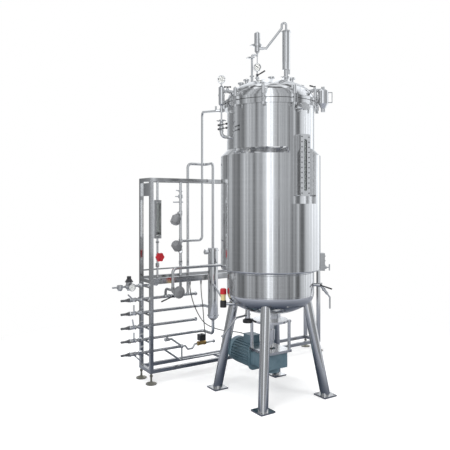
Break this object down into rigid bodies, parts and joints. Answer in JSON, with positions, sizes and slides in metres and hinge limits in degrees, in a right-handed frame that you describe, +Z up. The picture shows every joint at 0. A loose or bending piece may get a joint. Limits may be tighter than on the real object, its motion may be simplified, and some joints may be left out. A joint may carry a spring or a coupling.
{
  "type": "pilot bioreactor",
  "caption": "Jacketed stirred steel vessel on four legs with a bolted domed lid, a bottom drive and overhead condenser, beside a pipe skid with valves, heat exchanger and flow meter.",
  "frame": {"origin": "centre of the four leg anchors, on the floor and on the vessel's axis", "axes": "+Z up the vessel's axis, +X along the pipe skid away from its hose connections, +Y from the vessel to the skid"},
  "size_m": [2.275, 1.3618, 3.0343],
  "materials": {
    "polished_steel": "polished stainless steel, the shell and jacket brushed round the axis",
    "satin_steel": "satin stainless steel",
    "dark_plastic": "black moulded grips and housings",
    "teal_paint": "satin blue-green enamel on the motor's cast housing",
    "grey_paint": "grey enamel",
    "red_plastic": "glossy red",
    "black_rubber": "matt black",
    "clear_glass": "clear borosilicate glass",
    "foot_metal": "olive-grey zinc plated",
    "dark_steel": "dark machined steel"
  },
  "bodies": {
    "reactor": {"vessel_shell": "polished_steel", "jacket": "polished_steel", "lid": "polished_steel", "lid_gasket": "black_rubber", "swing_bolts": "polished_steel", "sight_frame": "satin_steel", "sight_pane": "clear_glass", "legs": "satin_steel", "sparger": "polished_steel", "seal_housing": "polished_steel", "drive_frame": "polished_steel", "gearbox": "satin_steel", "motor": "teal_paint", "pipe_clamps": "polished_steel", "condenser": "polished_steel", "exhaust_line": "polished_steel", "filter_housings": "polished_steel", "gauge_cases": "satin_steel", "lid_valves": "satin_steel", "side_stack": "polished_steel", "vessel_outlets": "satin_steel", "line_valves": "satin_steel", "downcomer": "polished_steel", "foam_trap": "polished_steel", "skid_ends": "satin_steel", "skid_rails": "satin_steel", "levelling_feet": "foot_metal", "inlet_pipes": "polished_steel", "hose_spigots": "dark_steel", "rotameter_body": "satin_steel", "rotameter_tube": "clear_glass", "air_line": "polished_steel", "actuators": "grey_paint", "heat_exchanger": "polished_steel", "loop_pipe": "polished_steel", "pressure_regulator": "grey_paint", "relief_valve": "satin_steel", "solenoid_valve": "dark_plastic", "motor_cable": "black_rubber", "solenoid_cable": "black_rubber"},
    "lid_valve_lever": {"lid_valve_lever": "dark_plastic"},
    "air_valve_handle": {"air_valve_handle": "dark_plastic"},
    "side_lever_upper": {"side_lever_upper": "dark_plastic"},
    "side_lever_lower": {"side_lever_lower": "dark_plastic"},
    "trap_valve_lever": {"trap_valve_lever": "dark_plastic"},
    "sample_lever": {"sample_lever": "dark_plastic"},
    "cock_handle": {"cock_handle": "satin_steel"},
    "drain_handwheel": {"drain_handwheel": "dark_plastic"},
    "inlet_lever_1": {"inlet_lever_1": "satin_steel"},
    "inlet_lever_2": {"inlet_lever_2": "satin_steel"},
    "inlet_lever_3": {"inlet_lever_3": "satin_steel"},
    "inlet_lever_4": {"inlet_lever_4": "satin_steel"},
    "inlet_lever_5": {"inlet_lever_5": "satin_steel"},
    "bypass_lever": {"bypass_lever": "dark_plastic"},
    "regulator_knob": {"regulator_knob": "dark_plastic"},
    "red_handwheel": {"red_handwheel": "red_plastic"},
    "rotameter_float": {"rotameter_float": "dark_plastic"},
    "agitator": {"agitator_shaft": "polished_steel", "impellers": "polished_steel"}
  },
  "joints": [
    {"name": "agitator_spin", "type": "hinge", "parent": "reactor", "child": "agitator", "pos_m": [0, 0, 0.8], "axis": [0, 0, 1], "continuous": true},
    {"name": "inlet_lever_1_turn", "type": "hinge", "parent": "reactor", "child": "inlet_lever_1", "pos_m": [-0.863, 0.774, 0.714], "axis": [0, -1, 0], "range_deg": [-45, 45]},
    {"name": "inlet_lever_2_turn", "type": "hinge", "parent": "reactor", "child": "inlet_lever_2", "pos_m": [-0.863, 0.774, 0.598], "axis": [0, -1, 0], "range_deg": [0, 90]},
    {"name": "inlet_lever_3_turn", "type": "hinge", "parent": "reactor", "child": "inlet_lever_3", "pos_m": [-0.863, 0.774, 0.478], "axis": [0, -1, 0], "range_deg": [-10, 80]},
    {"name": "inlet_lever_4_turn", "type": "hinge", "parent": "reactor", "child": "inlet_lever_4", "pos_m": [-0.863, 0.774, 0.364], "axis": [0, -1, 0], "range_deg": [0, 90]},
    {"name": "inlet_lever_5_turn", "type": "hinge", "parent": "reactor", "child": "inlet_lever_5", "pos_m": [-0.863, 0.774, 0.251], "axis": [0, -1, 0], "range_deg": [-90, 0]},
    {"name": "bypass_lever_turn", "type": "hinge", "parent": "reactor", "child": "bypass_lever", "pos_m": [-0.49, 0.774, 0.714], "axis": [0, -1, 0], "range_deg": [-18, 72]},
    {"name": "regulator_knob_turn", "type": "hinge", "parent": "reactor", "child": "regulator_knob", "pos_m": [-0.895, 0.8, 0.87], "axis": [0, 0, 1], "range_deg": [-360, 360]},
    {"name": "red_handwheel_turn", "type": "hinge", "parent": "reactor", "child": "red_handwheel", "pos_m": [-0.657, 0.706, 1.077], "axis": [0, -1, 0], "range_deg": [-360, 360]},
    {"name": "float_slide", "type": "slide", "parent": "reactor", "child": "rotameter_float", "axis": [0, 0, 1], "range_m": [0, 0.25]},
    {"name": "lid_valve_lever_turn", "type": "hinge", "parent": "reactor", "child": "lid_valve_lever", "pos_m": [-0.08316, 0.0642, 2.58738], "axis": [-0.5446, -0.8387, 0], "range_deg": [-31, 59]},
    {"name": "air_valve_handle_turn", "type": "hinge", "parent": "reactor", "child": "air_valve_handle", "pos_m": [-0.35643, 0.0955, 2.456], "axis": [0, 0, 1], "range_deg": [-72, 18]},
    {"name": "trap_valve_lever_turn", "type": "hinge", "parent": "reactor", "child": "trap_valve_lever", "pos_m": [0.20097, -0.30947, 2.456], "axis": [0, 0, 1], "range_deg": [-65, 25]},
    {"name": "side_lever_upper_turn", "type": "hinge", "parent": "reactor", "child": "side_lever_upper", "pos_m": [-0.43159, 0.10644, 2.156], "axis": [-0.9962, -0.0872, 0], "range_deg": [0, 90]},
    {"name": "side_lever_lower_turn", "type": "hinge", "parent": "reactor", "child": "side_lever_lower", "pos_m": [-0.43159, 0.10644, 2.124], "axis": [-0.9962, -0.0872, 0], "range_deg": [-90, 0]},
    {"name": "sample_lever_turn", "type": "hinge", "parent": "reactor", "child": "sample_lever", "pos_m": [0.2943, -0.28089, 0.88], "axis": [-0.6428, -0.766, 0], "range_deg": [0, 90]},
    {"name": "cock_handle_turn", "type": "hinge", "parent": "reactor", "child": "cock_handle", "pos_m": [0.38495, -0.24999, 1.016], "axis": [0.8387, -0.5446, 0], "range_deg": [0, 90]},
    {"name": "drain_handwheel_turn", "type": "hinge", "parent": "reactor", "child": "drain_handwheel", "pos_m": [-0.16511, 0.08779, 0.606], "axis": [0, 0, 1], "range_deg": [-360, 360]}
  ]
}
